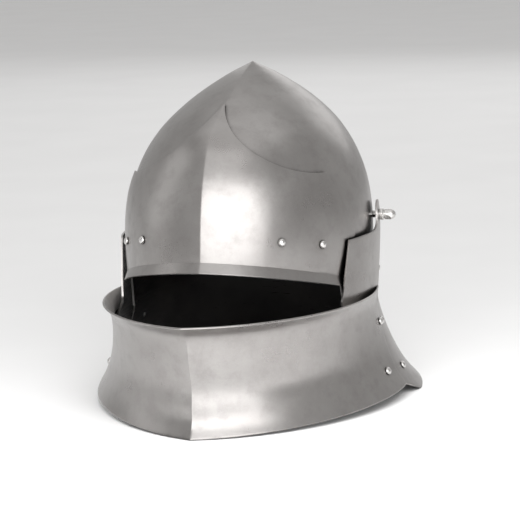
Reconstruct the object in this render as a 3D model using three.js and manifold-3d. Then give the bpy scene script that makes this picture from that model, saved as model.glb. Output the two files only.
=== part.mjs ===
// A steel sallet: an open skull with a keeled, pointed crown, a riveted brow plate with a cusped top,
// a flared neck guard, and a visor whose arms turn on two pivot bolts at the temples.
// Millimetres, +Z up, the face towards -Y. The origin is on the surface that the rims stand on.
import * as THREE from 'three';
import Module from 'manifold-3d';
import { mergeVertices } from 'three/addons/utils/BufferGeometryUtils.js';

const wasm = await Module();
wasm.setup();

// Skull
const APEX_HEIGHT = 280; // top of the crown above the floor
const APEX_SETBACK = 18; // the apex lies this far behind the widest line
const SKULL_HALF_WIDTH = 101.5;
const SKULL_FRONT = 131; // widest line to the keel at the brow
const SKULL_BACK = 116;
const WALL = 1.6; // sheet steel
const FIT_GAP = 1.1; // between plates that lie on each other
const FACE_TOP = 133; // upper edge of the face opening in the skull
const HEM_HEIGHT = 80; // lower edge of the skull at the sides and back
const FACE_ANGLE = 61; // side edge of the face opening, degrees from the front
const FACE_SLANT = 7; // degrees over which that edge runs down

// Brow plate
const BROW_FRONT = 126; // lower edge of the plate at the keel
const BROW_FALL = 0.29; // how fast that edge drops towards the back
const BROW_CUSP = 251; // tip of the plate on the keel
const BROW_CORNER_HEIGHT = 195;
const BROW_CORNER_ANGLE = 60;
const BROW_HEEL_ANGLE = 64.5; // lower rear corner, just ahead of the arm
const BROW_END_ANGLE = 73; // rear corner, under the arm
const BROW_END_HEIGHT = 146;
const BROW_END_DEPTH = 4;
const BROW_CURVE = 2; // hollowness of the edge between the cusp and the corner
const LIP_HEIGHT = 8;
const LIP_REACH = 4.5; // how far the brow lip turns out
const LIP_FADE = 16; // degrees over which the lip dies away at its ends
const LIP_END = 0.45; // share of it that is left there

// Visor
const VISOR_REACH = 175.6; // widest line to the chin tip
const VISOR_BACK = 158; // the same behind the widest line, before the visor is trimmed
const VISOR_HALF_WIDTH = 134.5;
const RIM_HEIGHT = 91.5;
const HEM_ARCH = 0.065; // slope of the visor's lower edge from the chin tip back
const FLOOR_GAP = 0.4;
const ARM_STANDOFF = 4.4; // inside of an arm to the skull's skin, at the top
const ARM_LEAN = 2.6; // how much further out its foot is
const ARM_FRONT = 50; // the arm's upper front corner, ahead of the widest line
const ARM_FRONT_LOW = 64; // where the arm's front edge meets the rim
const ARM_TOP = 140;
const ARM_ROOT_LOW = 66; // the arm's foot is flush with the band up to here
const ARM_ROOT_HIGH = 89;
const EAR_RADIUS = 12;
const EAR_FILLET = 20;
const REAR_AT_WAIST = 2; // the visor's rear edge, behind the widest line
const WAIST_HEIGHT = 64;
const REAR_AT_HEM = -8;

// Neck guard
const TAIL_REACH = 188.5; // widest line to the tip of the tail
const TAIL_HALF_WIDTH = 140;
const TAIL_TOP = 108;
const TAIL_FRONT = 20; // its front edge, ahead of the widest line and under the visor
const TAIL_TOUCH = 32; // behind the widest line the tail stands on the floor from here
const TAIL_TOP_FRONT = 28; // its top edge is this much lower under the arms

// Pivot bolts
const PIVOT_SETBACK = 23;
const PIVOT_HEIGHT = 150;
const SHANK_RADIUS = 3;
const COLLAR_RADIUS = 4.8;
const COLLAR_LENGTH = 2.6;
const GROOVE_RADIUS = 3.4;
const GROOVE_LENGTH = 1;
const KNOB_RADIUS = 4.4;
const KNOB_LENGTH = 12.5;
const NUT_RADIUS = 6;
const NUT_LENGTH = 3;
const RUNNING_GAP = 0.3;
const BOLT_GAP = 0.5; // radial clearance of the bolts in their holes
const BOLT_SEAT = 1.4; // the flat collar and nut bridge the curve of the plates by this much

// Rivets
const RIVET_HEAD = 3.3;
const RIVET_RISE = 2.1;
const RIVET_SHANK = 1.5;
const RIVET_TAIL = 2.5;
const RIVET_TAIL_LENGTH = 0.6;
const RIVET_SIDES = 7;
const BOLT_SIDES = 12;
const BROW_RIVET_HEIGHT = 140; // the outer one of each pair
const BROW_RIVET_RISE = 6; // the inner one is this much higher
const BROW_RIVET_ANGLES = { inner: 33, outer: 52.4 };
const NECK_RIVET_DROP = 7; // below the neck guard's upper edge
const NECK_RIVET_ANGLES = [110, 146, 180];
const UPPER_RIVET_HEIGHT = 64; // on the visor
const UPPER_RIVET_INSET = 8; // ahead of its rear edge
const LOWER_RIVET_HEIGHT = 27;
const LOWER_RIVET_INSET = 24;
const TAIL_UPPER_HEIGHT = 61; // on the neck guard
const TAIL_UPPER_OUTSET = 12; // behind the visor's rear edge
const TAIL_LOWER_HEIGHT = 22;
const TAIL_LOWER_OUTSET = 22.6;

// Sections, from the floor up. Each level is a share of the shell's height, and width, front, back and
// centre are shares of its half width, its reach forwards, its reach backwards and its setback.
// keel and tail say how sharply the section comes to a point in front and behind.
// The tail's width and back are shares of its flare, from its seat on the skull out to its hem.
const SKULL_SECTIONS = [
  { level: 0.25, width: 0.985, front: 1.02, back: 1.0, centre: 0, keel: 0.1, tail: 0 },
  { level: 0.4, width: 0.995, front: 1.022, back: 1.0, centre: 0, keel: 0.1, tail: 0 },
  { level: 0.535, width: 1.0, front: 1.0, back: 1.0, centre: 0, keel: 0.1, tail: 0 },
  { level: 0.643, width: 0.96, front: 0.967, back: 0.97, centre: 0.1, keel: 0.1, tail: 0 },
  { level: 0.732, width: 0.87, front: 0.912, back: 0.895, centre: 0.25, keel: 0.11, tail: 0.02 },
  { level: 0.804, width: 0.745, front: 0.83, back: 0.79, centre: 0.45, keel: 0.12, tail: 0.04 },
  { level: 0.857, width: 0.61, front: 0.69, back: 0.67, centre: 0.6, keel: 0.13, tail: 0.06 },
  { level: 0.911, width: 0.43, front: 0.48, back: 0.48, centre: 0.75, keel: 0.15, tail: 0.08 },
  { level: 0.964, width: 0.2, front: 0.23, back: 0.22, centre: 0.92, keel: 0.18, tail: 0.1 },
  { level: 1.0, width: 0, front: 0, back: 0, centre: 1, keel: 0.2, tail: 0.1 },
];
const VISOR_SECTIONS = [
  { level: 0.0, width: 1.035, front: 1.0, back: 0.97, centre: 0, keel: 0.21, tail: 0 },
  { level: 0.13, width: 0.993, front: 0.967, back: 0.95, centre: 0, keel: 0.21, tail: 0 },
  { level: 0.27, width: 0.933, front: 0.938, back: 0.93, centre: 0.1, keel: 0.21, tail: 0 },
  { level: 0.44, width: 0.88, front: 0.903, back: 0.9, centre: 0.25, keel: 0.21, tail: 0 },
  { level: 0.66, width: 0.835, front: 0.878, back: 0.87, centre: 0.5, keel: 0.2, tail: 0 },
  { level: 0.86, width: 0.812, front: 0.84, back: 0.92, centre: 0.8, keel: 0.18, tail: 0 },
  { level: 0.93, width: 0.8195, front: 0.846, back: 0.89, centre: 0.9, keel: 0.17, tail: 0 },
  { level: 1.0, width: 0.828, front: 0.879, back: 0.86, centre: 1, keel: 0.16, tail: 0 },
];
const RIM_FORWARD = 34; // the rim's widest line lies this far ahead of the skull's
const TAIL_SECTIONS = [
  { level: 0.0, width: 1.0, front: 1.0, back: 1.0, tail: 0.12 },
  { level: 0.11, width: 0.745, front: 0.96, back: 0.724, tail: 0.1 },
  { level: 0.23, width: 0.526, front: 0.93, back: 0.502, tail: 0.08 },
  { level: 0.38, width: 0.31, front: 0.9, back: 0.322, tail: 0.06 },
  { level: 0.56, width: 0.113, front: 0.86, back: 0.171, tail: 0.03 },
  { level: 0.72, width: 0.005, front: 0.83, back: 0.06, tail: 0.01 },
  { level: 0.84, width: 0, front: 0.8, back: 0, tail: 0 },
  { level: 0.92, width: 0, front: 0.8, back: 0, tail: 0 },
  { level: 1.0, width: 0, front: 0.8, back: 0, tail: 0 },
];

const rad = THREE.MathUtils.degToRad;
const mix = THREE.MathUtils.lerp;
const UP = new THREE.Vector3(0, 1, 0);

// A smooth curve through one column of a table of sections.
function along(table, column, level) {
  const last = table.length - 1;
  const at = table.findIndex((row) => row.level >= level);
  const i = at < 0 ? last - 1 : Math.max(0, at - 1);
  const slope = (j) => {
    const a = table[Math.max(0, j - 1)];
    const b = table[Math.min(last, j + 1)];
    return (b[column] - a[column]) / (b.level - a.level);
  };
  const span = table[i + 1].level - table[i].level;
  const t = THREE.MathUtils.clamp((level - table[i].level) / span, 0, 1);
  const t2 = t * t;
  const t3 = t2 * t;
  return (
    (2 * t3 - 3 * t2 + 1) * table[i][column] +
    (t3 - 2 * t2 + t) * span * slope(i) +
    (3 * t2 - 2 * t3) * table[i + 1][column] +
    (t3 - t2) * span * slope(i + 1)
  );
}

// The point of a shell at an angle from the front, in degrees, and a height.
function shellPoint(shell, angle, height) {
  const level = height / shell.height;
  const value = (column) => along(shell.sections, column, level);
  const past = Math.abs(angle) > 180;
  const around = past ? 360 - Math.abs(angle) : Math.abs(angle);
  const side = past ? -Math.sign(angle) : Math.sign(angle);
  const a = rad(around);
  const front = around <= 90;
  const reach = front ? -value('front') * shell.front : value('back') * shell.back;
  const point = front ? value('keel') : value('tail');
  const x = side * value('width') * shell.halfWidth * Math.sin(a);
  const section = (1 - point) * Math.abs(Math.cos(a)) + point * (1 - Math.sin(a));
  return new THREE.Vector3(x, value('centre') * shell.centre + reach * section, height);
}

// The shell's outward normal, by small steps along the surface.
function shellNormal(point, angle, height) {
  const turn = 0.5;
  const rise = 0.5;
  const around = point(angle + turn, height).sub(point(angle - turn, height));
  const upward = point(angle, height + rise).sub(point(angle, height - rise));
  return around.cross(upward).normalize();
}

const SKULL = {
  sections: SKULL_SECTIONS,
  height: APEX_HEIGHT,
  halfWidth: SKULL_HALF_WIDTH,
  front: SKULL_FRONT,
  back: SKULL_BACK,
  centre: APEX_SETBACK,
};
const BAND = {
  sections: VISOR_SECTIONS,
  height: RIM_HEIGHT,
  halfWidth: VISOR_HALF_WIDTH,
  front: VISOR_REACH,
  back: VISOR_BACK,
  centre: -RIM_FORWARD,
};
const hemShare = along(SKULL_SECTIONS, 'width', TAIL_TOP / APEX_HEIGHT);
const seatWidth = (SKULL_HALF_WIDTH * hemShare + FIT_GAP + WALL) / TAIL_HALF_WIDTH;
const seatBack = (SKULL_BACK + FIT_GAP + WALL) / TAIL_REACH;
const TAIL = {
  sections: TAIL_SECTIONS.map((row) => ({
    ...row,
    width: mix(seatWidth, 1, row.width),
    back: mix(seatBack, 1, row.back),
    centre: 0,
    keel: 0,
  })),
  height: TAIL_TOP,
  halfWidth: TAIL_HALF_WIDTH,
  front: VISOR_REACH,
  back: TAIL_REACH,
  centre: 0,
};

const skullPoint = (angle, height) => shellPoint(SKULL, angle, height);
const bandPoint = (angle, height) => shellPoint(BAND, angle, height);
const tailPoint = (angle, height) => shellPoint(TAIL, angle, height);
const offset = (point, distance) => (angle, height) =>
  point(angle, height).addScaledVector(shellNormal(point, angle, height), distance);
const above = (point, floor) => (angle, height) => {
  const place = point(angle, height);
  return place.setZ(Math.max(place.z, floor));
};

// An arm follows the skull above the rim and runs out into the band below it.
function armPoint(angle, height) {
  const lift = THREE.MathUtils.smoothstep(height, ARM_ROOT_LOW, ARM_ROOT_HIGH);
  const lean = ARM_LEAN * THREE.MathUtils.clamp((ARM_TOP - height) / (ARM_TOP - RIM_HEIGHT), 0, 1);
  const forward = THREE.MathUtils.smoothstep(-skullPoint(angle, height).y, 0, ARM_FRONT);
  const upper = offset(skullPoint, ARM_STANDOFF + WALL + lean * forward)(angle, height);
  const lower = offset(bandPoint, -WALL / 4)(angle, height);
  return lower.lerp(upper, lift);
}

// Closes two grids of points, an outer and an inner skin, into one solid.
function sheet(outer, inner, loop) {
  const rows = outer.length;
  const cols = outer[0].length;
  const position = [];
  for (const skin of [outer, inner]) {
    for (const row of skin) {
      for (const p of row) position.push(p.x, p.y, p.z);
    }
  }
  const index = [];
  const at = (skin, r, c) => skin * rows * cols + r * cols + (c % cols);
  const quad = (a, b, c, d) => index.push(a, b, c, a, c, d);
  const spans = loop ? cols : cols - 1;
  for (let r = 0; r < rows - 1; r += 1) {
    for (let c = 0; c < spans; c += 1) {
      const next = (c + 1) % cols;
      const rising = outer[r][c].distanceTo(outer[r + 1][next]) < outer[r][next].distanceTo(outer[r + 1][c]);
      const face = (skin) => [at(skin, r, c), at(skin, r, c + 1), at(skin, r + 1, c + 1), at(skin, r + 1, c)];
      const [a, b, d, e] = face(0);
      const [f, g, h, i] = face(1);
      if (rising) {
        quad(a, b, d, e);
        quad(f, i, h, g);
      } else {
        quad(b, d, e, a);
        quad(g, f, i, h);
      }
    }
    if (!loop) {
      quad(at(1, r, 0), at(0, r, 0), at(0, r + 1, 0), at(1, r + 1, 0));
      quad(at(0, r, cols - 1), at(1, r, cols - 1), at(1, r + 1, cols - 1), at(0, r + 1, cols - 1));
    }
  }
  for (let c = 0; c < spans; c += 1) {
    quad(at(1, 0, c), at(1, 0, c + 1), at(0, 0, c + 1), at(0, 0, c));
    quad(at(0, rows - 1, c), at(0, rows - 1, c + 1), at(1, rows - 1, c + 1), at(1, rows - 1, c));
  }
  const geometry = new THREE.BufferGeometry();
  geometry.setAttribute('position', new THREE.Float32BufferAttribute(position, 3));
  geometry.setIndex(index);
  return toSolid(geometry);
}

// A closed mesh as a solid that can be cut and joined.
function toSolid(geometry) {
  const bare = geometry.clone();
  bare.deleteAttribute('normal');
  bare.deleteAttribute('uv');
  const merged = mergeVertices(bare, 1e-3);
  const source = merged.index.array;
  const kept = [];
  for (let i = 0; i < source.length; i += 3) {
    const [a, b, c] = [source[i], source[i + 1], source[i + 2]];
    if (a !== b && b !== c && c !== a) kept.push(a, b, c);
  }
  const vertProperties = new Float32Array(merged.attributes.position.array);
  return new wasm.Manifold(new wasm.Mesh({ numProp: 3, vertProperties, triVerts: new Uint32Array(kept) }));
}

// A solid as geometry for a mesh.
function toGeometry(solid) {
  const mesh = solid.getMesh();
  const geometry = new THREE.BufferGeometry();
  geometry.setAttribute('position', new THREE.Float32BufferAttribute(mesh.vertProperties, mesh.numProp));
  geometry.setIndex(new THREE.Uint32BufferAttribute(mesh.triVerts, 1));
  return geometry;
}

// Evenly spaced values, both ends included.
function steps(from, to, count) {
  return Array.from({ length: count + 1 }, (_, i) => mix(from, to, i / count));
}

// A grid of points: angles across, and in each column heights between two edges at the given shares.
function grid(point, angles, shares, low, high) {
  return shares.map((share) => angles.map((angle) => point(angle, mix(low(angle), high(angle), share))));
}

// A closed round piece turned from half of its outline, standing along a normal.
function turned(outline, sides) {
  return new THREE.LatheGeometry(outline.map(([r, h]) => new THREE.Vector2(r, h)), sides);
}

// The rivet's height zero is the outer face of the plates it holds, and stack is their thickness.
function rivetOutline(stack) {
  const bottom = -stack - FIT_GAP;
  return [
    [0, bottom - RIVET_TAIL_LENGTH],
    [RIVET_TAIL, bottom - RIVET_TAIL_LENGTH],
    [RIVET_TAIL, bottom],
    [RIVET_SHANK, bottom],
    [RIVET_SHANK, FIT_GAP],
    [RIVET_HEAD, FIT_GAP],
    [0.75 * RIVET_HEAD, FIT_GAP + 0.66 * RIVET_RISE],
    [0, FIT_GAP + RIVET_RISE],
  ];
}

function boltOutline(stack) {
  const base = RUNNING_GAP + BOLT_SEAT;
  const collar = base + COLLAR_LENGTH;
  const groove = collar + GROOVE_LENGTH;
  const straight = groove + KNOB_LENGTH - KNOB_RADIUS;
  const tip = [0.25, 0.5, 0.75].map((t) => [
    KNOB_RADIUS * Math.cos((t * Math.PI) / 2),
    straight + KNOB_RADIUS * Math.sin((t * Math.PI) / 2),
  ]);
  const bottom = -stack - RUNNING_GAP - BOLT_SEAT;
  return [
    [0, bottom - NUT_LENGTH],
    [NUT_RADIUS, bottom - NUT_LENGTH],
    [NUT_RADIUS, bottom],
    [SHANK_RADIUS, bottom],
    [SHANK_RADIUS, base],
    [COLLAR_RADIUS, base],
    [COLLAR_RADIUS, collar],
    [GROOVE_RADIUS, collar],
    [GROOVE_RADIUS, groove],
    [KNOB_RADIUS, groove],
    [KNOB_RADIUS, straight],
    ...tip,
    [0, straight + KNOB_RADIUS],
  ];
}

// A round cutter through a plate.
function drill(seatPoint, normal, radius, sidesAround) {
  const geometry = new THREE.CylinderGeometry(radius, radius, 24, sidesAround);
  const turn = new THREE.Quaternion().setFromUnitVectors(UP, normal);
  geometry.applyMatrix4(new THREE.Matrix4().compose(seatPoint, turn, new THREE.Vector3(1, 1, 1)));
  return toSolid(geometry);
}

function drilled(solid, seats, radius, sidesAround) {
  return seats.reduce((body, s) => body.subtract(drill(s.point, s.normal, radius, sidesAround)), solid);
}

// Where a fastener sits: the outer face of its plate and the normal there.
function seatAt(point, angle, height) {
  return { point: point(angle, height), normal: shellNormal(point, angle, height) };
}

// The angle at which a shell lies at a given setback, found by halving.
function angleAt(point, setback, height) {
  let low = 20;
  let high = 160;
  for (let i = 0; i < 40; i += 1) {
    const middle = (low + high) / 2;
    if (point(middle, height).y < setback) low = middle;
    else high = middle;
  }
  return (low + high) / 2;
}

const rivetHole = RIVET_SHANK + RUNNING_GAP;
const boltHole = (SHANK_RADIUS + BOLT_GAP) / Math.cos(Math.PI / BOLT_SIDES);
const browOuter = offset(skullPoint, FIT_GAP + WALL);

const pivotAngle = angleAt(skullPoint, PIVOT_SETBACK, PIVOT_HEIGHT);
const sides = [
  { name: 'left', sign: 1 },
  { name: 'right', sign: -1 },
];
// Both bolts lie on one level axis, so the visor turns freely.
const boltSeats = sides.map(({ name, sign }) => ({
  name,
  point: armPoint(sign * pivotAngle, PIVOT_HEIGHT).setY(PIVOT_SETBACK).setZ(PIVOT_HEIGHT),
  normal: new THREE.Vector3(sign, 0, 0),
}));
const browSeats = sides.flatMap(({ name, sign }) =>
  Object.entries(BROW_RIVET_ANGLES).map(([which, angle]) => {
    const height = BROW_RIVET_HEIGHT + (which === 'inner' ? BROW_RIVET_RISE : 0);
    return { name: `${name}_${which}`, ...seatAt(browOuter, sign * angle, height) };
  }));
const neckSeats = NECK_RIVET_ANGLES.flatMap((angle, i) =>
  (angle === 180 ? [{ name: 'back', sign: 1 }] : sides).map(({ name, sign }) => ({
    name: angle === 180 ? name : `${name}_${i + 1}`,
    ...seatAt(tailPoint, sign * angle, TAIL_TOP - NECK_RIVET_DROP),
  })));
// The side rivets run down beside the visor's rear edge, on the visor and on the tail behind it.
const rearEdge = (height) => mix(REAR_AT_HEM, REAR_AT_WAIST, height / WAIST_HEIGHT);
const sideSeats = (point, rows) => sides.flatMap(({ name, sign }) =>
  rows.map(({ which, shift, height }) => {
    const angle = angleAt(point, rearEdge(height) + shift, height);
    return { name: `${name}_${which}`, ...seatAt(point, sign * angle, height) };
  }));
const visorSeats = sideSeats(bandPoint, [
  { which: 'upper', shift: -UPPER_RIVET_INSET, height: UPPER_RIVET_HEIGHT },
  { which: 'lower', shift: -LOWER_RIVET_INSET, height: LOWER_RIVET_HEIGHT },
]);
const tailSeats = sideSeats(tailPoint, [
  { which: 'upper', shift: TAIL_UPPER_OUTSET, height: TAIL_UPPER_HEIGHT },
  { which: 'lower', shift: TAIL_LOWER_OUTSET, height: TAIL_LOWER_HEIGHT },
]);

function makeSkull() {
  const ring = [...steps(0, FACE_ANGLE, 11), ...steps(FACE_ANGLE, FACE_ANGLE + FACE_SLANT, 2).slice(1)];
  const half = [...ring, ...steps(FACE_ANGLE + FACE_SLANT, 180, 12).slice(1)];
  const angles = [...half.slice(1, -1).reverse().map((a) => -a), ...half];
  const low = (angle) => {
    const away = Math.abs(angle) - FACE_ANGLE;
    return mix(FACE_TOP, HEM_HEIGHT, THREE.MathUtils.clamp(away / FACE_SLANT, 0, 1));
  };
  const shares = [0, 0.11, 0.22, 0.33, 0.43, 0.53, 0.62, 0.7, 0.77, 0.84, 0.9, 0.95, 1];
  const outer = grid(skullPoint, angles, shares, low, () => APEX_HEIGHT);
  const inner = shares.map((share) => angles.map((angle) => {
    const height = mix(low(angle), APEX_HEIGHT, share);
    if (share === 1) return skullPoint(angle, height).add(new THREE.Vector3(0, 0, -1.25 * WALL));
    return offset(skullPoint, -WALL)(angle, height);
  }));
  const shell = sheet(outer, inner, true);
  const riveted = drilled(shell, [...browSeats, ...neckSeats], rivetHole, RIVET_SIDES);
  return drilled(riveted, boltSeats, boltHole, BOLT_SIDES);
}

function browTop(angle) {
  const a = Math.abs(angle);
  if (a <= BROW_CORNER_ANGLE) {
    return mix(BROW_CORNER_HEIGHT, BROW_CUSP, (1 - a / BROW_CORNER_ANGLE) ** BROW_CURVE);
  }
  const beyond = (a - BROW_CORNER_ANGLE) / (BROW_END_ANGLE - BROW_CORNER_ANGLE);
  return mix(BROW_CORNER_HEIGHT, BROW_END_HEIGHT, beyond);
}

function browBottom(angle) {
  const a = Math.abs(angle);
  const heel = Math.min(a, BROW_HEEL_ANGLE);
  const edge = BROW_FRONT - BROW_FALL * (skullPoint(heel, BROW_FRONT).y - skullPoint(0, BROW_FRONT).y);
  const beyond = (a - heel) / (BROW_END_ANGLE - BROW_HEEL_ANGLE);
  return mix(edge, BROW_END_HEIGHT - BROW_END_DEPTH, beyond);
}

function makeBrowPlate() {
  const front = steps(0, 1, 12).map((t) => BROW_CORNER_ANGLE * t ** 1.25);
  const rear = [BROW_HEEL_ANGLE, (BROW_HEEL_ANGLE + BROW_END_ANGLE) / 2, BROW_END_ANGLE];
  const half = [...front, ...rear];
  const angles = [...half.slice(1).reverse().map((a) => -a), ...half];
  const lipTop = (angle) => {
    const low = browBottom(angle);
    return Math.min(low + LIP_HEIGHT, mix(low, browTop(angle), 0.6));
  };
  const lipPoint = (extra) => (angle, height) => {
    const low = browBottom(angle);
    const turn = 1 - THREE.MathUtils.clamp((height - low) / (lipTop(angle) - low), 0, 1);
    const fade = THREE.MathUtils.clamp((BROW_HEEL_ANGLE - Math.abs(angle)) / LIP_FADE, 0, 1);
    const reach = LIP_REACH * (Math.abs(angle) > BROW_HEEL_ANGLE ? 0 : mix(LIP_END, 1, fade));
    return offset(skullPoint, FIT_GAP + extra + reach * turn ** 1.6)(angle, height);
  };
  const rowsFor = (extra) => {
    const lip = grid(lipPoint(extra), angles, [0, 0.5], browBottom, lipTop);
    const face = grid(lipPoint(extra), angles, [0, 0.15, 0.3, 0.45, 0.58, 0.7, 0.8, 0.9, 1], lipTop, browTop);
    return [...lip, ...face];
  };
  const shell = sheet(rowsFor(WALL), rowsFor(0), false);
  return drilled(shell, browSeats, rivetHole, RIVET_SIDES);
}

function visorHem(angle) {
  const tip = bandPoint(0, 0).y;
  return FLOOR_GAP + HEM_ARCH * (bandPoint(angle, 0).y - tip);
}

// The visor's outline from the side: setback across and height up.
function visorOutline() {
  const far = VISOR_REACH + RIM_FORWARD;
  const below = -APEX_HEIGHT / 10;
  const overRim = RIM_HEIGHT + 1;
  const slope = (REAR_AT_WAIST - REAR_AT_HEM) / WAIST_HEIGHT;
  const earLow = PIVOT_SETBACK - EAR_RADIUS;
  const shape = new THREE.Shape();
  shape.moveTo(-far, below);
  shape.lineTo(REAR_AT_HEM + slope * below, below);
  shape.lineTo(REAR_AT_WAIST, WAIST_HEIGHT);
  shape.lineTo(PIVOT_SETBACK + EAR_RADIUS, PIVOT_HEIGHT);
  shape.absarc(PIVOT_SETBACK, PIVOT_HEIGHT, EAR_RADIUS, 0, Math.PI, false);
  shape.quadraticCurveTo(earLow, ARM_TOP, earLow - EAR_FILLET, ARM_TOP);
  shape.lineTo(-ARM_FRONT, ARM_TOP);
  shape.lineTo(-ARM_FRONT_LOW, overRim);
  shape.lineTo(-far, overRim);
  return shape;
}

function makeVisor() {
  const half = steps(0, 118, 23);
  const angles = [...half.slice(1).reverse().map((a) => -a), ...half];
  const shares = [0, 0.13, 0.29, 0.47, 0.66, 0.81, 0.92, 1];
  const rim = () => RIM_HEIGHT;
  const band = sheet(
    grid(bandPoint, angles, shares, visorHem, rim),
    grid(above(offset(bandPoint, -WALL), FLOOR_GAP), angles, shares, visorHem, rim),
    false,
  );
  const armLow = () => ARM_ROOT_LOW - WALL;
  const armHigh = () => PIVOT_HEIGHT + EAR_RADIUS + 2;
  const armShares = [0, 0.08, 0.16, 0.25, 0.45, 0.72, 1];
  const arms = sides.map(({ sign }) => {
    const span = steps(50, 110, 10).map((a) => sign * a);
    const across = sign > 0 ? span : span.reverse();
    return sheet(
      grid(armPoint, across, armShares, armLow, armHigh),
      grid(offset(armPoint, -WALL), across, armShares, armLow, armHigh),
      false,
    );
  });
  const width = 4 * VISOR_HALF_WIDTH;
  const cut = { depth: width, bevelEnabled: false, curveSegments: 7 };
  const profile = new THREE.ExtrudeGeometry(visorOutline(), cut);
  profile.translate(0, 0, -width / 2);
  const [x, y, z] = [new THREE.Vector3(1, 0, 0), new THREE.Vector3(0, 1, 0), new THREE.Vector3(0, 0, 1)];
  profile.applyMatrix4(new THREE.Matrix4().makeBasis(y, z, x));
  const whole = arms.reduce((body, arm) => body.add(arm), band).intersect(toSolid(profile));
  return drilled(drilled(whole, visorSeats, rivetHole, RIVET_SIDES), boltSeats, boltHole, BOLT_SIDES);
}

// The tail's lower edge follows the visor's in front, then comes down to the floor.
function tailHem(angle) {
  const setback = tailPoint(angle, 0).y;
  const arch = HEM_ARCH * (VISOR_REACH + setback);
  return arch * (1 - THREE.MathUtils.smoothstep(setback, REAR_AT_HEM, TAIL_TOUCH));
}

function makeNeckGuard() {
  const start = angleAt(tailPoint, -TAIL_FRONT, 0);
  const touch = angleAt(tailPoint, TAIL_TOUCH, 0);
  const half = [...steps(start, touch, 5), ...steps(touch, 180, 12).slice(1)];
  const angles = [...half.slice(0, -1), ...half.slice().reverse().map((a) => 360 - a)];
  const wrap = (angle) => (angle > 180 ? angle - 360 : angle);
  const shares = [0, 0.12, 0.27, 0.45, 0.64, 0.78, 0.88, 1];
  const top = (angle) => {
    const setback = tailPoint(angle, TAIL_TOP).y;
    return TAIL_TOP - TAIL_TOP_FRONT * (1 - THREE.MathUtils.smoothstep(setback, 0, TAIL_TOUCH));
  };
  const skin = (distance) => above(offset(tailPoint, distance), 0);
  const make = (distance) => grid(skin(distance), angles.map(wrap), shares, tailHem, top);
  const shell = sheet(make(0), make(-WALL), false);
  return drilled(shell, [...neckSeats, ...tailSeats], rivetHole, RIVET_SIDES);
}

const steel = (color, roughness) => new THREE.MeshStandardMaterial({ color, roughness, metalness: 1 });
const group = new THREE.Group();
const body = new THREE.Group();
group.add(body);

function addPlate(name, solid, material) {
  const mesh = new THREE.Mesh(toGeometry(solid), material);
  mesh.name = name;
  body.add(mesh);
}

function addFastener(name, outline, sidesAround, place, material) {
  const mesh = new THREE.Mesh(turned(outline, sidesAround), material);
  mesh.name = name;
  mesh.position.copy(place.point);
  mesh.quaternion.setFromUnitVectors(UP, place.normal);
  body.add(mesh);
}

addPlate('skull', makeSkull(), steel(0x9c9a98, 0.3));
addPlate('brow_plate', makeBrowPlate(), steel(0xa8a6a4, 0.28));
addPlate('visor', makeVisor(), steel(0xa09d9b, 0.3));
addPlate('neck_guard', makeNeckGuard(), steel(0x989593, 0.32));

const bright = steel(0xc8c6c4, 0.2);
const twoPlates = 2 * WALL + FIT_GAP;
for (const place of boltSeats) {
  addFastener(`pivot_bolt_${place.name}`, boltOutline(WALL + ARM_STANDOFF + WALL), BOLT_SIDES, place, bright);
}
for (const place of browSeats) {
  addFastener(`brow_rivet_${place.name}`, rivetOutline(twoPlates), RIVET_SIDES, place, bright);
}
for (const place of neckSeats) {
  addFastener(`neck_rivet_${place.name}`, rivetOutline(twoPlates), RIVET_SIDES, place, bright);
}
for (const place of visorSeats) {
  addFastener(`visor_rivet_${place.name}`, rivetOutline(WALL), RIVET_SIDES, place, bright);
}
for (const place of tailSeats) {
  addFastener(`tail_rivet_${place.name}`, rivetOutline(WALL), RIVET_SIDES, place, bright);
}

// The origin lies under the middle of the helmet.
const box = new THREE.Box3().setFromObject(body);
body.position.y = -(box.min.y + box.max.y) / 2;

export default group;
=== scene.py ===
from collections import namedtuple
from math import cos, pi, radians, sin, sqrt

import bpy
from mathutils import Matrix, Vector


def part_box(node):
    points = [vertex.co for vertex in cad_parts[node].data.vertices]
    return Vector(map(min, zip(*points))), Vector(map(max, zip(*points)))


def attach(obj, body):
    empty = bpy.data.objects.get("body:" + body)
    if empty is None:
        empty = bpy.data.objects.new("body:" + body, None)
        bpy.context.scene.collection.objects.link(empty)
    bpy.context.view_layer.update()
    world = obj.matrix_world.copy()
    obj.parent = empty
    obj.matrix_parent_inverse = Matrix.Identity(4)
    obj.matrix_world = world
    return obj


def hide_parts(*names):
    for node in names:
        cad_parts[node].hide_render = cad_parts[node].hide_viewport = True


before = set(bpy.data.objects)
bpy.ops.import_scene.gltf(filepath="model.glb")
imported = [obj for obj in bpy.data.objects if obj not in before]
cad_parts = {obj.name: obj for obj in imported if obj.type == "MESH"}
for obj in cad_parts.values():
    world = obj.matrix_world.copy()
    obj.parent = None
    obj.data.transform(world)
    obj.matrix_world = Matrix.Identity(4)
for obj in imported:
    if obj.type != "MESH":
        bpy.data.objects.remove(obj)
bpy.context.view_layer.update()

# Sizes in millimetres, the face towards -Y.
MM = 0.001
WALL = 1.6
FIT_GAP = 1.1

APEX_HEIGHT = 280
APEX_SETBACK = 18
SKULL_HALF_WIDTH = 101.5
SKULL_FRONT = 131
SKULL_BACK = 116
FACE_TOP = 133
HEM_HEIGHT = 80
FACE_ANGLE = 61
FACE_SLANT = 7

BROW_FRONT = 126
BROW_FALL = 0.29
BROW_CUSP = 251
BROW_CORNER_HEIGHT = 195
BROW_CORNER_ANGLE = 60
BROW_HEEL_ANGLE = 64.5
BROW_END_ANGLE = 73
BROW_END_HEIGHT = 146
BROW_END_DEPTH = 4
LIP_HEIGHT = 8
LIP_REACH = 4.5
LIP_FADE = 16
LIP_END = 0.45

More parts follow.
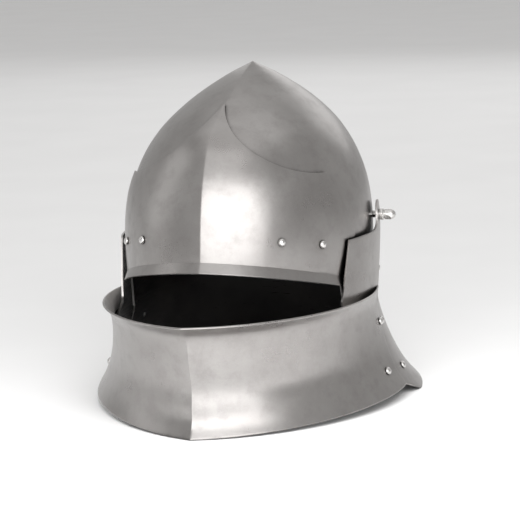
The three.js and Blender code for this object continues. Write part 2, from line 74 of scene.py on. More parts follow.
VISOR_REACH = 175.6
VISOR_BACK = 158
VISOR_HALF_WIDTH = 134.5
RIM_HEIGHT = 91.5
RIM_FORWARD = 34
HEM_ARCH = 0.065
FLOOR_GAP = 0.4
ARM_STANDOFF = 4.4
ARM_LEAN = 2.6
ARM_FRONT = 50
ARM_FRONT_LOW = 64
ARM_TOP = 140
ARM_ROOT_LOW = 66
ARM_ROOT_HIGH = 89
EAR_RADIUS = 12
EAR_FILLET = 20
REAR_AT_WAIST = 2
WAIST_HEIGHT = 64
REAR_AT_HEM = -8

TAIL_REACH = 188.5
TAIL_HALF_WIDTH = 140
TAIL_TOP = 108
TAIL_FRONT = 20
TAIL_TOUCH = 32
TAIL_TOP_FRONT = 28

PIVOT_HEIGHT = 150
PIVOT_SETBACK = 23
EDGE_ROUND = 0.6
LIP_DEPTH = 14
WELD = 1e-5
CREASE_ANGLE = radians(27)

Row = namedtuple("Row", "level width front back centre keel tail")
SKULL_ROWS = [
    Row(0.25, 0.985, 1.02, 1.0, 0, 0.1, 0),
    Row(0.4, 0.995, 1.022, 1.0, 0, 0.1, 0),
    Row(0.535, 1.0, 1.0, 1.0, 0, 0.1, 0),
    Row(0.643, 0.96, 0.967, 0.97, 0.1, 0.1, 0),
    Row(0.732, 0.87, 0.912, 0.895, 0.25, 0.11, 0.02),
    Row(0.804, 0.745, 0.83, 0.79, 0.45, 0.12, 0.04),
    Row(0.857, 0.61, 0.69, 0.67, 0.6, 0.13, 0.06),
    Row(0.911, 0.43, 0.48, 0.48, 0.75, 0.15, 0.08),
    Row(0.964, 0.2, 0.23, 0.22, 0.92, 0.18, 0.1),
    Row(1.0, 0, 0, 0, 1, 0.2, 0.1),
]
VISOR_ROWS = [
    Row(0.0, 1.035, 1.0, 0.97, 0, 0.21, 0),
    Row(0.13, 0.993, 0.967, 0.95, 0, 0.21, 0),
    Row(0.27, 0.933, 0.938, 0.93, 0.1, 0.21, 0),
    Row(0.44, 0.88, 0.903, 0.9, 0.25, 0.21, 0),
    Row(0.66, 0.835, 0.878, 0.87, 0.5, 0.2, 0),
    Row(0.86, 0.812, 0.84, 0.92, 0.8, 0.18, 0),
    Row(0.93, 0.8195, 0.846, 0.89, 0.9, 0.17, 0),
    Row(1.0, 0.84, 0.879, 0.86, 1, 0.16, 0),
]
TAIL_ROWS = [
    Row(0.0, 1.0, 1.0, 1.0, 0, 0, 0.12),
    Row(0.11, 0.745, 0.96, 0.724, 0, 0, 0.1),
    Row(0.23, 0.526, 0.93, 0.502, 0, 0, 0.08),
    Row(0.38, 0.31, 0.9, 0.322, 0, 0, 0.06),
    Row(0.56, 0.113, 0.86, 0.171, 0, 0, 0.03),
    Row(0.72, 0.005, 0.83, 0.06, 0, 0, 0.01),
    Row(0.84, 0, 0.8, 0, 0, 0, 0),
    Row(0.92, 0, 0.8, 0, 0, 0, 0),
    Row(1.0, 0, 0.8, 0, 0, 0, 0),
]


def mix(low, high, share):
    return low + (high - low) * share


def clamp(value, low=0.0, high=1.0):
    return max(low, min(high, value))


def smooth(value, low, high):
    t = clamp((value - low) / (high - low))
    return t * t * (3 - 2 * t)


def along(rows, column, level):
    """A smooth curve through one column of a table of sections."""
    last = len(rows) - 1
    i = next((k - 1 for k in range(1, last + 1) if rows[k].level >= level), last - 1)
    value = [getattr(row, column) for row in rows]

    def slope(j):
        a, b = max(0, j - 1), min(last, j + 1)
        return (value[b] - value[a]) / (rows[b].level - rows[a].level)

    span = rows[i + 1].level - rows[i].level
    t = clamp((level - rows[i].level) / span)
    bent = (t**3 - 2 * t * t + t) * span * slope(i) + (t**3 - t * t) * span * slope(i + 1)
    ends = (2 * t**3 - 3 * t * t + 1) * value[i] + (3 * t * t - 2 * t**3) * value[i + 1]
    return bent + ends


class Shell:
    """A raised plate, given by its sections and four reaches."""

    def __init__(self, rows, height, half_width, front, back, centre):
        self.rows, self.height, self.half_width = rows, height, half_width
        self.front, self.back, self.centre = front, back, centre

    def point(self, angle, height):
        value = lambda column: along(self.rows, column, height / self.height)
        past = abs(angle) > 180
        around = 360 - abs(angle) if past else abs(angle)
        side = (-1 if past else 1) * (-1 if angle < 0 else 1)
        a = radians(around)
        front = around <= 90
        reach = -value("front") * self.front if front else value("back") * self.back
        keel = value("keel") if front else value("tail")
        x = side * value("width") * self.half_width * sin(a)
        y = value("centre") * self.centre + reach * ((1 - keel) * abs(cos(a)) + keel * (1 - sin(a)))
        return Vector((x, y, height))

    def normal(self, angle, height, step=0.5):
        around = self.point(angle + step, height) - self.point(angle - step, height)
        upward = self.point(angle, height + step) - self.point(angle, height - step)
        return around.cross(upward).normalized()

    def lifted(self, angle, height, distance):
        return self.point(angle, height) + distance * self.normal(angle, height)


def angle_at(point, setback, height):
    """The angle at which a surface lies at a given setback, found by halving."""
    low, high = 5.0, 175.0
    for _ in range(32):
        middle = (low + high) / 2
        if point(middle, height).y < setback:
            low = middle
        else:
            high = middle
    return (low + high) / 2


SKULL = Shell(SKULL_ROWS, APEX_HEIGHT, SKULL_HALF_WIDTH, SKULL_FRONT, SKULL_BACK, APEX_SETBACK)
BAND = Shell(VISOR_ROWS, RIM_HEIGHT, VISOR_HALF_WIDTH, VISOR_REACH, VISOR_BACK, -RIM_FORWARD)
HEM_SHARE = along(SKULL_ROWS, "width", TAIL_TOP / APEX_HEIGHT)
SEAT_WIDTH = (SKULL_HALF_WIDTH * HEM_SHARE + FIT_GAP + WALL) / TAIL_HALF_WIDTH
SEAT_BACK = (SKULL_BACK + FIT_GAP + WALL) / TAIL_REACH
FLARED_ROWS = [
    row._replace(width=mix(SEAT_WIDTH, 1, row.width), back=mix(SEAT_BACK, 1, row.back)) for row in TAIL_ROWS
]
TAIL = Shell(FLARED_ROWS, TAIL_TOP, TAIL_HALF_WIDTH, VISOR_REACH, TAIL_REACH, 0)


def arm_point(angle, height):
    """An arm follows the skull above the rim and runs out into the band below it."""
    lift = smooth(height, ARM_ROOT_LOW, ARM_ROOT_HIGH)
    lean = ARM_LEAN * clamp((ARM_TOP - height) / (ARM_TOP - RIM_HEIGHT))
    forward = smooth(-SKULL.point(angle, height).y, 0, ARM_FRONT)
    upper = SKULL.lifted(angle, height, ARM_STANDOFF + WALL + lean * forward)
    lower = BAND.lifted(angle, height, -WALL / 4)
    return lower.lerp(upper, lift)


def through(stops, share):
    """A value read off straight lines between (share, value) stops."""
    for (s0, v0), (s1, v1) in zip(stops, stops[1:]):
        if share <= s1 + 1e-6:
            return mix(v0, v1, (share - s0) / (s1 - s0))
    return stops[-1][1]


def deselect():
    if bpy.context.object and bpy.context.object.mode != "OBJECT":
        bpy.ops.object.mode_set(mode="OBJECT")
    bpy.ops.object.select_all(action="DESELECT")


def activate(piece):
    deselect()
    piece.select_set(True)
    bpy.context.view_layer.objects.active = piece


def settle(piece):
    """Puts the piece's place, turn and size into its mesh."""
    activate(piece)
    bpy.ops.object.transform_apply(location=True, rotation=True, scale=True)


def apply_modifier(piece, name, kind, **settings):
    activate(piece)
    modifier = piece.modifiers.new(name, kind)
    for key, value in settings.items():
        setattr(modifier, key, value)
    bpy.ops.object.modifier_apply(modifier=name)


def edge_plate(piece, bare_from=None, foot=0):
    """Gives a skin its wall, black inside up to the given height, flat at its foot, with rounded edges."""
    apply_modifier(
        piece, "wall", "SOLIDIFY", thickness=WALL * MM, offset=-1, use_even_offset=True,
        use_quality_normals=True, material_offset=1, material_offset_rim=0,
    )
    for vertex in piece.data.vertices:
        vertex.co.z = max(vertex.co.z, foot * MM)
    # Above the given height the inside is bare steel, coloured lighter as a painted highlight.
    if bare_from is not None:
        for face in piece.data.polygons:
            if face.center.z > bare_from * MM and face.material_index == 1:
                face.material_index = 2
    apply_modifier(
        piece, "edge", "BEVEL", width=EDGE_ROUND * MM, segments=2, limit_method="ANGLE",
        angle_limit=radians(50), use_clamp_overlap=True,
    )
    activate(piece)
    bpy.ops.object.shade_smooth_by_angle(angle=CREASE_ANGLE)


def raised_sheet(name, columns, rows, place):
    """A flat grid raised to its form, one half of it and its mirror image."""
    deselect()
    bpy.ops.mesh.primitive_grid_add(x_subdivisions=columns, y_subdivisions=rows, size=1)
    piece = bpy.context.object
    piece.name = name
    piece.data.name = name
    for vertex in piece.data.vertices:
        u = round((vertex.co.x + 0.5) * columns) / columns
        v = round((vertex.co.y + 0.5) * rows) / rows
        vertex.co = place(u, v) * MM
    for material in (satin_steel, black_paint, bare_steel_painted_bright):
        piece.data.materials.append(material)
    apply_modifier(piece, "halves", "MIRROR", use_axis=(True, False, False), use_clip=True,
                   merge_threshold=WELD)
    bpy.ops.object.mode_set(mode="EDIT")
    bpy.ops.mesh.select_all(action="SELECT")
    bpy.ops.mesh.remove_doubles(threshold=WELD)
    bpy.ops.object.mode_set(mode="OBJECT")
    return piece


def turned_piece(name, outline, sides, material):
    """A round piece drawn up ring by ring from (radius, height) pairs, standing on Z."""
    deselect()
    radius, height = outline[0]
    bpy.ops.mesh.primitive_circle_add(
        vertices=sides, radius=radius * MM, fill_type="NGON", location=(0, 0, height * MM))
    piece = bpy.context.object
    piece.name = name
    piece.data.name = name
    settle(piece)
    bpy.ops.object.mode_set(mode="EDIT")
    bpy.ops.mesh.select_all(action="SELECT")
    for wider, higher in outline[1:]:
        bpy.ops.mesh.extrude_region_move(
            TRANSFORM_OT_translate={"value": (0, 0, (higher - height) * MM)})
        if wider != radius:
            bpy.ops.transform.resize(value=(wider / radius, wider / radius, 1))
        radius, height = wider, higher
    bpy.ops.mesh.select_all(action="SELECT")
    bpy.ops.mesh.normals_make_consistent(inside=False)
    bpy.ops.object.mode_set(mode="OBJECT")
    bpy.ops.object.shade_smooth_by_angle(angle=radians(35))
    piece.data.materials.append(material)
    return piece


def set_in_place(piece, name, point, normal):
    """A copy of a fastener, stood on a plate."""
    activate(piece)
    bpy.ops.object.duplicate(linked=False)
    copy = bpy.context.object
    copy.name = name
    copy.data.name = name
    copy.rotation_mode = "QUATERNION"
    copy.rotation_quaternion = normal.to_track_quat("Z", "Y")
    copy.location = point * MM
    settle(copy)
    return copy


def stands_for(piece, body, slot, *nodes):
    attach(piece, body)
    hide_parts(*nodes)


def node_tree(material):
    material.use_nodes = True
    tree = material.node_tree
    shader = tree.nodes["Principled BSDF"]
    place = tree.nodes.new("ShaderNodeTexCoord").outputs["Object"]
    return tree, shader, place


def noise(tree, place, scale, detail=2.0, rough=0.5, stretch=None):
    if stretch:
        mapping = tree.nodes.new("ShaderNodeMapping")
        mapping.inputs["Scale"].default_value = stretch
        tree.links.new(place, mapping.inputs["Vector"])
        place = mapping.outputs["Vector"]
    texture = tree.nodes.new("ShaderNodeTexNoise")
    texture.inputs["Scale"].default_value = scale
    texture.inputs["Detail"].default_value = detail
    texture.inputs["Roughness"].default_value = rough
    tree.links.new(place, texture.inputs["Vector"])
    return texture.outputs["Fac"]


def ramp(tree, source, stops):
    band = tree.nodes.new("ShaderNodeValToRGB")
    first, last = band.color_ramp.elements
    elements = [first] + [band.color_ramp.elements.new(at) for at, _ in stops[1:-1]] + [last]
    for element, (at, colour) in zip(elements, stops):
        element.position = at
        element.color = (*colour, 1) if isinstance(colour, tuple) else (colour, colour, colour, 1)
    tree.links.new(source, band.inputs["Fac"])
    return band.outputs["Color"]


def blend(tree, kind, factor, first, second):
    node = tree.nodes.new("ShaderNodeMix")
    node.data_type = "RGBA"
    node.blend_type = kind
    if isinstance(factor, float):
        node.inputs["Factor"].default_value = factor
    else:
        tree.links.new(factor, node.inputs["Factor"])
    for source, socket in ((first, node.inputs["A"]), (second, node.inputs["B"])):
        if isinstance(source, tuple):
            socket.default_value = (*source, 1)
        else:
            tree.links.new(source, socket)
    return node.outputs["Result"]


def bump(tree, height, distance, strength, under=None):
    node = tree.nodes.new("ShaderNodeBump")
    node.inputs["Distance"].default_value = distance
    node.inputs["Strength"].default_value = strength
    tree.links.new(height, node.inputs["Height"])
    if under:
        tree.links.new(under, node.inputs["Normal"])
    return node.outputs["Normal"]


def corner_shade(tree, stains):
    """Painted shade: darkens the colour in corners, round rivet heads and under plate edges, where nearby
    plates keep the light off; the stain noise breaks it up a little.
    """
    corner = tree.nodes.new("ShaderNodeAmbientOcclusion")
    corner.samples = 12
    corner.inputs["Distance"].default_value = 0.007
    spread = tree.nodes.new("ShaderNodeMath")
    spread.operation = "MULTIPLY_ADD"
    tree.links.new(stains, spread.inputs[0])
    spread.inputs[1].default_value = -0.25
    tree.links.new(corner.outputs["AO"], spread.inputs[2])
    # The darkest stop is the colour of the painted shade.
    return ramp(tree, spread.outputs[0], [(0.3, (0.06, 0.055, 0.05)), (0.78, 1.0)])


def make_satin_steel():
    """Polished sheet steel: hammered waves, fine scratches both ways, dull handled patches, and painted
    shade in corners and under the plates' edges.
    """
    material = bpy.data.materials.new("satin_steel")
    tree, shader, place = node_tree(material)
    shader.inputs["Metallic"].default_value = 1.0
    clouds = noise(tree, place, 22, 4, 0.55)
    stains = noise(tree, place, 70, 6, 0.65)
    grain = noise(tree, place, 900, 3, 0.6)
    lines_up = noise(tree, place, 260, 4, 0.6, (6, 6, 0.35))
    lines_over = noise(tree, place, 260, 4, 0.6, (0.4, 0.4, 7))
    tone = ramp(tree, clouds, [(0.3, (0.325, 0.310, 0.302)), (0.7, (0.40, 0.386, 0.377))])
    dull = ramp(tree, stains, [(0.48, 0.0), (0.78, 0.75)])
    tone = blend(tree, "MIX", dull, tone, (0.29, 0.276, 0.268))
    tone = blend(tree, "MULTIPLY", 0.10, tone, ramp(tree, grain, [(0.3, 0.5), (0.7, 1.0)]))
    # Painted shade: the base colour is darkened in corners and under plate edges.
    tree.links.new(blend(tree, "MULTIPLY", 1.0, tone, corner_shade(tree, stains)), shader.inputs["Base Color"])
    rough = ramp(tree, clouds, [(0.3, 0.24), (0.7, 0.31)])
    rough = blend(tree, "ADD", 0.08, rough, dull)
    rough = blend(tree, "ADD", 0.05, rough, lines_up)
    tree.links.new(rough, shader.inputs["Roughness"])
    waves = bump(tree, noise(tree, place, 34, 1.5, 0.4), 0.0012, 0.22)
    dents = bump(tree, noise(tree, place, 95, 2, 0.5), 0.0003, 0.20, waves)
    upright = bump(tree, lines_up, 0.00005, 0.25, dents)
    level = bump(tree, lines_over, 0.00005, 0.20, upright)
    tree.links.new(level, shader.inputs["Normal"])
    return material


def make_black_paint():
    """Glossy black paint, brushed on inside."""
    material = bpy.data.materials.new("black_paint")
    tree, shader, place = node_tree(material)
    shader.inputs["Metallic"].default_value = 0.0
    shader.inputs["Specular IOR Level"].default_value = 0.4
    streaks = noise(tree, place, 120, 4, 0.6, (0.5, 0.5, 5))
    clouds = noise(tree, place, 25, 3)
    tree.links.new(ramp(tree, clouds, [(0.35, (0.011, 0.010, 0.010)), (0.7, (0.026, 0.023, 0.022))]),
                   shader.inputs["Base Color"])
    tree.links.new(ramp(tree, streaks, [(0.3, 0.26), (0.75, 0.5)]), shader.inputs["Roughness"])
    drips = bump(tree, clouds, 0.0008, 0.3)
    tree.links.new(bump(tree, streaks, 0.0002, 0.4, drips), shader.inputs["Normal"])
    return material


def make_bright_steel():
    """Polished rivet heads and bolts, with turning marks and dirt."""
    material = bpy.data.materials.new("bright_steel")
    tree, shader, place = node_tree(material)
    shader.inputs["Metallic"].default_value = 1.0
    spots = noise(tree, place, 420, 4, 0.6)
    tree.links.new(ramp(tree, spots, [(0.35, (0.66, 0.65, 0.64)), (0.75, (0.50, 0.485, 0.47))]),
                   shader.inputs["Base Color"])
    tree.links.new(ramp(tree, spots, [(0.3, 0.15), (0.75, 0.3)]), shader.inputs["Roughness"])
    tree.links.new(bump(tree, noise(tree, place, 1500, 2), 0.00003, 0.3), shader.inputs["Normal"])
    return material


def make_bare_steel_painted_bright():
    """The inside of the visor's rim, bare of paint and dull, its colour made much lighter than the plate
    steel as a painted highlight of the light from above.
    """
    material = bpy.data.materials.new("bare_steel_painted_bright")
    tree, shader, place = node_tree(material)
    shader.inputs["Metallic"].default_value = 1.0
    clouds = noise(tree, place, 60, 5, 0.6)
    # Painted highlight: a far lighter steel colour than the plate steel's.
    tree.links.new(ramp(tree, clouds, [(0.3, (0.66, 0.64, 0.625)), (0.7, (0.8, 0.785, 0.77))]),
                   shader.inputs["Base Color"])
    tree.links.new(ramp(tree, clouds, [(0.3, 0.5), (0.7, 0.62)]), shader.inputs["Roughness"])
    rubbed = noise(tree, place, 260, 4, 0.6, (0.5, 0.5, 6))
    tree.links.new(bump(tree, rubbed, 0.0001, 0.3), shader.inputs["Normal"])
    return material


satin_steel = make_satin_steel()
bare_steel_painted_bright = make_bare_steel_painted_bright()
black_paint = make_black_paint()
bright_steel = make_bright_steel()


def make_skull():
    columns, rows = 120, 88
    angles = [(0, 0), (40 / columns, FACE_ANGLE), (48 / columns, FACE_ANGLE + FACE_SLANT), (1, 180)]

    def place(u, v):
        angle = through(angles, u)
        low = mix(FACE_TOP, HEM_HEIGHT, clamp((angle - FACE_ANGLE) / FACE_SLANT))
        return SKULL.point(angle, mix(low, APEX_HEIGHT, 1 - (1 - v) ** 1.25))

    piece = raised_sheet("skull_plate", columns, rows, place)
    edge_plate(piece)
    stands_for(piece, "helmet", "plate_steel", "skull")


def brow_top(angle):
    if angle <= BROW_CORNER_ANGLE:
        return mix(BROW_CORNER_HEIGHT, BROW_CUSP, (1 - angle / BROW_CORNER_ANGLE) ** 2)
    beyond = (angle - BROW_CORNER_ANGLE) / (BROW_END_ANGLE - BROW_CORNER_ANGLE)
    return mix(BROW_CORNER_HEIGHT, BROW_END_HEIGHT, beyond)


def brow_bottom(angle):
    heel = min(angle, BROW_HEEL_ANGLE)
    edge = BROW_FRONT - BROW_FALL * (SKULL.point(heel, BROW_FRONT).y - SKULL.point(0, BROW_FRONT).y)
    beyond = (angle - heel) / (BROW_END_ANGLE - BROW_HEEL_ANGLE)
    return mix(edge, BROW_END_HEIGHT - BROW_END_DEPTH, beyond)


def make_brow_plate():
    columns, rows = 96, 64
    lip_share = 12 / rows
    corner = 80 / columns
    heel = 86 / columns

    def place(u, v):
        if u <= corner:
            angle = BROW_CORNER_ANGLE * (u / corner) ** 1.2
        else:
            angle = through([(corner, BROW_CORNER_ANGLE), (heel, BROW_HEEL_ANGLE), (1, BROW_END_ANGLE)], u)
        low, top = brow_bottom(angle), brow_top(angle)
        crease = min(low + LIP_HEIGHT, mix(low, top, 0.6))
        height = mix(low, crease, v / lip_share) if v <= lip_share else \
            mix(crease, top, (v - lip_share) / (1 - lip_share))
        turn = 1 - clamp((height - low) / (crease - low))
        fade = clamp((BROW_HEEL_ANGLE - angle) / LIP_FADE)
        reach = 0 if angle > BROW_HEEL_ANGLE else LIP_REACH * mix(LIP_END, 1, fade)
        return SKULL.lifted(angle, height, FIT_GAP + WALL + reach * turn)

    piece = raised_sheet("brow_plate_sheet", columns, rows, place)
    edge_plate(piece)
    stands_for(piece, "helmet", "plate_steel", "brow_plate")


def rear_edge(height):
    """How far behind the widest line the visor's rear edge lies."""
    if height < WAIST_HEIGHT:
        return mix(REAR_AT_HEM, REAR_AT_WAIST, height / WAIST_HEIGHT)
    span = (height - WAIST_HEIGHT) / (PIVOT_HEIGHT - WAIST_HEIGHT)
    return mix(REAR_AT_WAIST, PIVOT_SETBACK + EAR_RADIUS, span)


def visor_hem(setback):
    return FLOOR_GAP + HEM_ARCH * (setback - BAND.point(0, 0).y)


def make_visor_band():
    columns, rows = 128, 56
    ends = [angle_at(BAND.point, rear_edge(RIM_HEIGHT * r / rows), RIM_HEIGHT * r / rows)
            for r in range(rows + 1)]

    def place(u, v):
        end = ends[round(v * rows)]
        angle = end * u
        low = visor_hem(BAND.point(angle, 0).y)
        return BAND.point(angle, mix(low, RIM_HEIGHT, v))

    return raised_sheet("visor_band", columns, rows, place)


def arm_top(setback):
    """Height of an arm's upper edge: the slanted front, the shoulder and the round ear."""
    ear_front = PIVOT_SETBACK - EAR_RADIUS
    if setback < -ARM_FRONT:
        return mix(RIM_HEIGHT, ARM_TOP, (setback + ARM_FRONT_LOW) / (ARM_FRONT_LOW - ARM_FRONT))
    if setback < ear_front - EAR_FILLET:
        return ARM_TOP
    if setback < ear_front:
        t = 1 - sqrt(1 - (setback - ear_front + EAR_FILLET) / EAR_FILLET)
        return ARM_TOP + (PIVOT_HEIGHT - ARM_TOP) * t * t
    return PIVOT_HEIGHT + sqrt(max(0, EAR_RADIUS**2 - (setback - PIVOT_SETBACK) ** 2))


def arm_foot(setback):
    """Height of its lower edge: inside the band, then up along the visor's rear edge."""
    if setback <= REAR_AT_WAIST:
        return ARM_ROOT_LOW
    slope = (PIVOT_HEIGHT - WAIST_HEIGHT) / (PIVOT_SETBACK + EAR_RADIUS - REAR_AT_WAIST)
    return max(ARM_ROOT_LOW, WAIST_HEIGHT + slope * (setback - REAR_AT_WAIST))


def make_visor_arm():
    columns, rows = 72, 44
    ear_front = PIVOT_SETBACK - EAR_RADIUS
    shoulder = [(0, -ARM_FRONT_LOW), (12 / columns, -ARM_FRONT), (32 / columns, ear_front - EAR_FILLET),
                (46 / columns, ear_front)]

    def place(u, v):
        if u <= shoulder[-1][0]:
            setback = through(shoulder, u)
        else:
            turn = (u - shoulder[-1][0]) / (1 - shoulder[-1][0])
            setback = PIVOT_SETBACK - EAR_RADIUS * cos(pi * turn)
        height = mix(arm_foot(setback), arm_top(setback), v)
        return arm_point(angle_at(arm_point, setback, height), height)

    return raised_sheet("visor_arm", columns, rows, place)


def make_visor():
    band = make_visor_band()
    arms = make_visor_arm()
    edge_plate(band, bare_from=RIM_HEIGHT - LIP_DEPTH, foot=FLOOR_GAP)
    edge_plate(arms)
    activate(band)
    arms.select_set(True)
    bpy.ops.object.join()
    band.name = "visor_plate"
    band.data.name = "visor_plate"
    stands_for(band, "visor", "plate_steel", "visor")


def make_neck_guard():
    columns, rows = 120, 52
    start = angle_at(TAIL.point, -TAIL_FRONT, 0)

    def place(u, v):
        angle = mix(start, 180, u)
        setback = TAIL.point(angle, 0).y
        arch = HEM_ARCH * (VISOR_REACH + setback)
        low = arch * (1 - smooth(setback, REAR_AT_HEM, TAIL_TOUCH))
        away = smooth(TAIL.point(angle, TAIL_TOP).y, 0, TAIL_TOUCH)
        top = TAIL_TOP - TAIL_TOP_FRONT * (1 - away)
        return TAIL.point(angle, mix(low, top, v))

    piece = raised_sheet("neck_guard_plate", columns, rows, place)
    edge_plate(piece)
    stands_for(piece, "helmet", "plate_steel", "neck_guard")


HEAD_RADIUS = 3.3
HEAD_RISE = 2.1
SHANK_RADIUS = 1.5
TAIL_RADIUS = 2.5
TAIL_LENGTH = 0.6

BOLT_PLAY = 1.7
BOLT_SHANK = 3
NUT_RADIUS = 6
NUT_HEIGHT = 3
COLLAR_RADIUS = 4.8
COLLAR_HEIGHT = 2.6
GROOVE_RADIUS = 3.4
GROOVE_WIDTH = 1
KNOB_RADIUS = 4.4
KNOB_LENGTH = 12.5
KNOB_SHORT = 3.5


def dome(radius, rise, base, steps=7):
    """(radius, height) pairs of a rounded head, from its rim to the flat of its top."""
    turns = [i / steps * pi / 2 for i in range(steps)]
    return [(radius * cos(t), base + rise * sin(t)) for t in turns] + [(0.05 * radius, base + rise)]


def rivet_outline(stack):
    bottom = -stack
    return [
        (TAIL_RADIUS * 0.7, bottom - TAIL_LENGTH),
        (TAIL_RADIUS, bottom - 0.6 * TAIL_LENGTH),
        (TAIL_RADIUS, bottom),
        (SHANK_RADIUS, bottom),
        (SHANK_RADIUS, 0.25),
        (HEAD_RADIUS * 0.9, 0.25),
        (HEAD_RADIUS, 0.7),
    ] + dome(HEAD_RADIUS, HEAD_RISE + FIT_GAP - 0.9, 0.9)


def make_rivets():
    two_plates = turned_piece("rivet", rivet_outline(2 * WALL + FIT_GAP), 28, bright_steel)
    one_plate = turned_piece("rivet", rivet_outline(WALL), 28, bright_steel)
    for name, node in sorted(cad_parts.items()):
        if "rivet" not in name:
            continue
        low, high = (Vector(corner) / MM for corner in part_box(name))
        middle = (low + high) / 2
        pattern = one_plate if name.startswith(("visor", "tail")) else two_plates
        body = "visor" if name.startswith("visor") else "helmet"
        shell = {"brow": SKULL, "neck": TAIL, "tail": TAIL, "viso": BAND}[name[:4]]
        side = -1 if middle.x < -1 else 1
        skin = FIT_GAP + WALL if shell is SKULL else 0
        if name == "neck_rivet_back":
            angle = 180
        else:
            angle = side * angle_at(lambda a, h: shell.lifted(a, h, skin), middle.y, middle.z)
        point = shell.lifted(angle, middle.z, skin)
        head = name.replace("rivet", "rivet_head")
        piece = set_in_place(pattern, head, point, shell.normal(angle, middle.z))
        stands_for(piece, body, "fastener_steel", name)
    for pattern in (two_plates, one_plate):
        bpy.data.objects.remove(pattern)


def make_bolts():
    """Nut, shank, collar, groove and round-ended knob, drawn from the inside out."""
    stack = WALL + ARM_STANDOFF + WALL
    bottom, base = -stack - BOLT_PLAY, BOLT_PLAY
    collar, groove = base + COLLAR_HEIGHT, base + COLLAR_HEIGHT + GROOVE_WIDTH
    reach = groove + KNOB_LENGTH
    tip = reach - KNOB_RADIUS - KNOB_SHORT
    outline = [
        (NUT_RADIUS - 0.8, bottom - NUT_HEIGHT), (NUT_RADIUS, bottom - 2.4), (NUT_RADIUS, bottom),
        (BOLT_SHANK, bottom), (BOLT_SHANK, base - 1.4), (COLLAR_RADIUS - 0.5, base - 1.4),
        (COLLAR_RADIUS, base - 0.9), (COLLAR_RADIUS, collar - 0.5), (KNOB_RADIUS, collar),
        (GROOVE_RADIUS, collar), (GROOVE_RADIUS, groove), (KNOB_RADIUS - 0.3, groove),
        (KNOB_RADIUS, groove + 0.4),
    ] + dome(KNOB_RADIUS, KNOB_RADIUS, tip, 9)
    pattern = turned_piece("bolt", outline, 40, bright_steel)
    for side, sign in (("left", 1), ("right", -1)):
        node = f"pivot_bolt_{side}"
        low, high = (Vector(corner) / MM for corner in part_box(node))
        middle = (low + high) / 2
        outside = high.x if sign > 0 else -low.x
        point = Vector((sign * (outside - reach), middle.y, middle.z))
        piece = set_in_place(pattern, f"pivot_bolt_{side}_turned", point, Vector((sign, 0, 0)))
        stands_for(piece, "helmet", "fastener_steel", node)
    bpy.data.objects.remove(pattern)


# The camera is at the photograph's angle.
CAMERA_AZIMUTH = radians(17.74)
CAMERA_ELEVATION = radians(9.87)
CAMERA_ROLL = radians(-1.94)
CAMERA_DISTANCE = 1.80039
CAMERA_FOCUS = 2123.53
CAMERA_TARGET = Vector((0.00627, 0, 0.11272))
IMAGE_SIZE = 520
SENSOR = 36


def make_camera():
    az, el = CAMERA_AZIMUTH, CAMERA_ELEVATION
    back = Vector((sin(az) * cos(el), -cos(az) * cos(el), sin(el)))
    level = Vector((cos(az), sin(az), 0))
    upright = back.cross(level)
    across = level * cos(CAMERA_ROLL) + upright * sin(CAMERA_ROLL)
    upward = upright * cos(CAMERA_ROLL) - level * sin(CAMERA_ROLL)
    data = bpy.data.cameras.new("camera")
    data.sensor_width = SENSOR
    data.lens = SENSOR * CAMERA_FOCUS / IMAGE_SIZE
    data.clip_end = 60
    camera = bpy.data.objects.new("camera", data)
    turn = Matrix((across, upward, back)).transposed()
    camera.matrix_world = Matrix.Translation(CAMERA_TARGET + CAMERA_DISTANCE * back) @ turn.to_4x4()
    bpy.context.scene.collection.objects.link(camera)
    bpy.context.scene.camera = camera


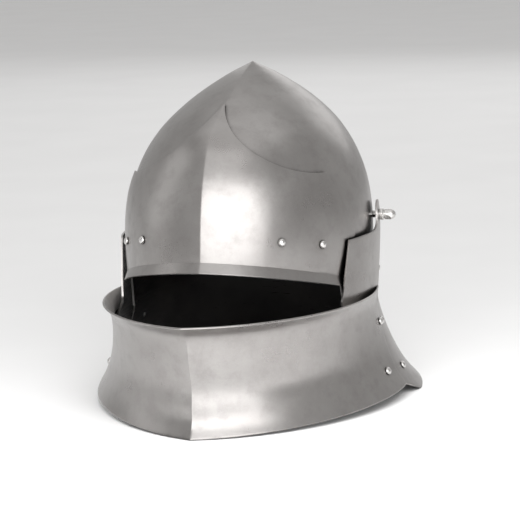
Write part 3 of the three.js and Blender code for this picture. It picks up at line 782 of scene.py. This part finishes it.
# Name, azimuth (0 is in front of the helmet, 90 on its left side), elevation, distance, width, height
# and brightness.
SOFT_BOXES = [
    ("key", 20, 12, 3.0, 3.7, 2.7, 3.0),
    ("brow", 15, 52, 3.0, 2.6, 1.4, 0.5),
    ("left", -82, 20, 3.2, 1.4, 2.4, 0.5),
    ("overhead", 0, 88, 3.0, 4.0, 4.0, 0.45),
    ("back", 180, 24, 3.4, 3.2, 1.4, 0.8),
]
FLOOR_LAMP_SIZE = (0.5, 0.45)
FLOOR_LAMP_PLACE = (0.24, -0.46, 0.45)
FLOOR_LAMP_POWER = 4.0
FLOOR_SIZE = 40


def make_light(name, azimuth, elevation, distance, width, height, brightness):
    """A soft box that faces the helmet."""
    az, el = radians(azimuth), radians(elevation)
    aim = Vector((0, 0, 0.13))
    away = Vector((sin(az) * cos(el), -cos(az) * cos(el), sin(el)))
    data = bpy.data.lights.new(name, "AREA")
    data.shape = "RECTANGLE"
    data.size, data.size_y = width, height
    data.energy = brightness * pi * width * height
    light = bpy.data.objects.new(name, data)
    light.location = aim + distance * away
    light.rotation_mode = "QUATERNION"
    light.rotation_quaternion = away.to_track_quat("Z", "Y")
    bpy.context.scene.collection.objects.link(light)


def light_the_floor():
    """A lamp over the floor in front of the helmet, out of sight of the steel."""
    data = bpy.data.lights.new("floor_front", "AREA")
    data.shape = "RECTANGLE"
    data.size, data.size_y = FLOOR_LAMP_SIZE
    data.energy = FLOOR_LAMP_POWER
    light = bpy.data.objects.new("floor_front", data)
    light.location = FLOOR_LAMP_PLACE
    light.visible_glossy = False
    bpy.context.scene.collection.objects.link(light)


def make_studio():
    deselect()
    bpy.ops.mesh.primitive_plane_add(size=FLOOR_SIZE)
    floor = bpy.context.object
    floor.name = "floor"
    paper = bpy.data.materials.new("pale_floor")
    tree, shader, place = node_tree(paper)
    tree.links.new(ramp(tree, noise(tree, place, 6), [(0.3, (0.86, 0.86, 0.86)), (0.7, (0.88, 0.88, 0.88))]),
                   shader.inputs["Base Color"])
    shader.inputs["Roughness"].default_value = 0.8
    floor.data.materials.append(paper)
    bpy.context.scene.view_settings.view_transform = "Standard"
    world = bpy.context.scene.world or bpy.data.worlds.new("studio")
    bpy.context.scene.world = world
    world.use_nodes = True
    world.node_tree.nodes["Background"].inputs["Color"].default_value = (0.54, 0.535, 0.53, 1)
    world.node_tree.nodes["Background"].inputs["Strength"].default_value = 1.0
    for box in SOFT_BOXES:
        make_light(*box)
    light_the_floor()


make_camera()
make_skull()
make_brow_plate()
make_visor()
make_neck_guard()
make_rivets()
make_bolts()
make_studio()
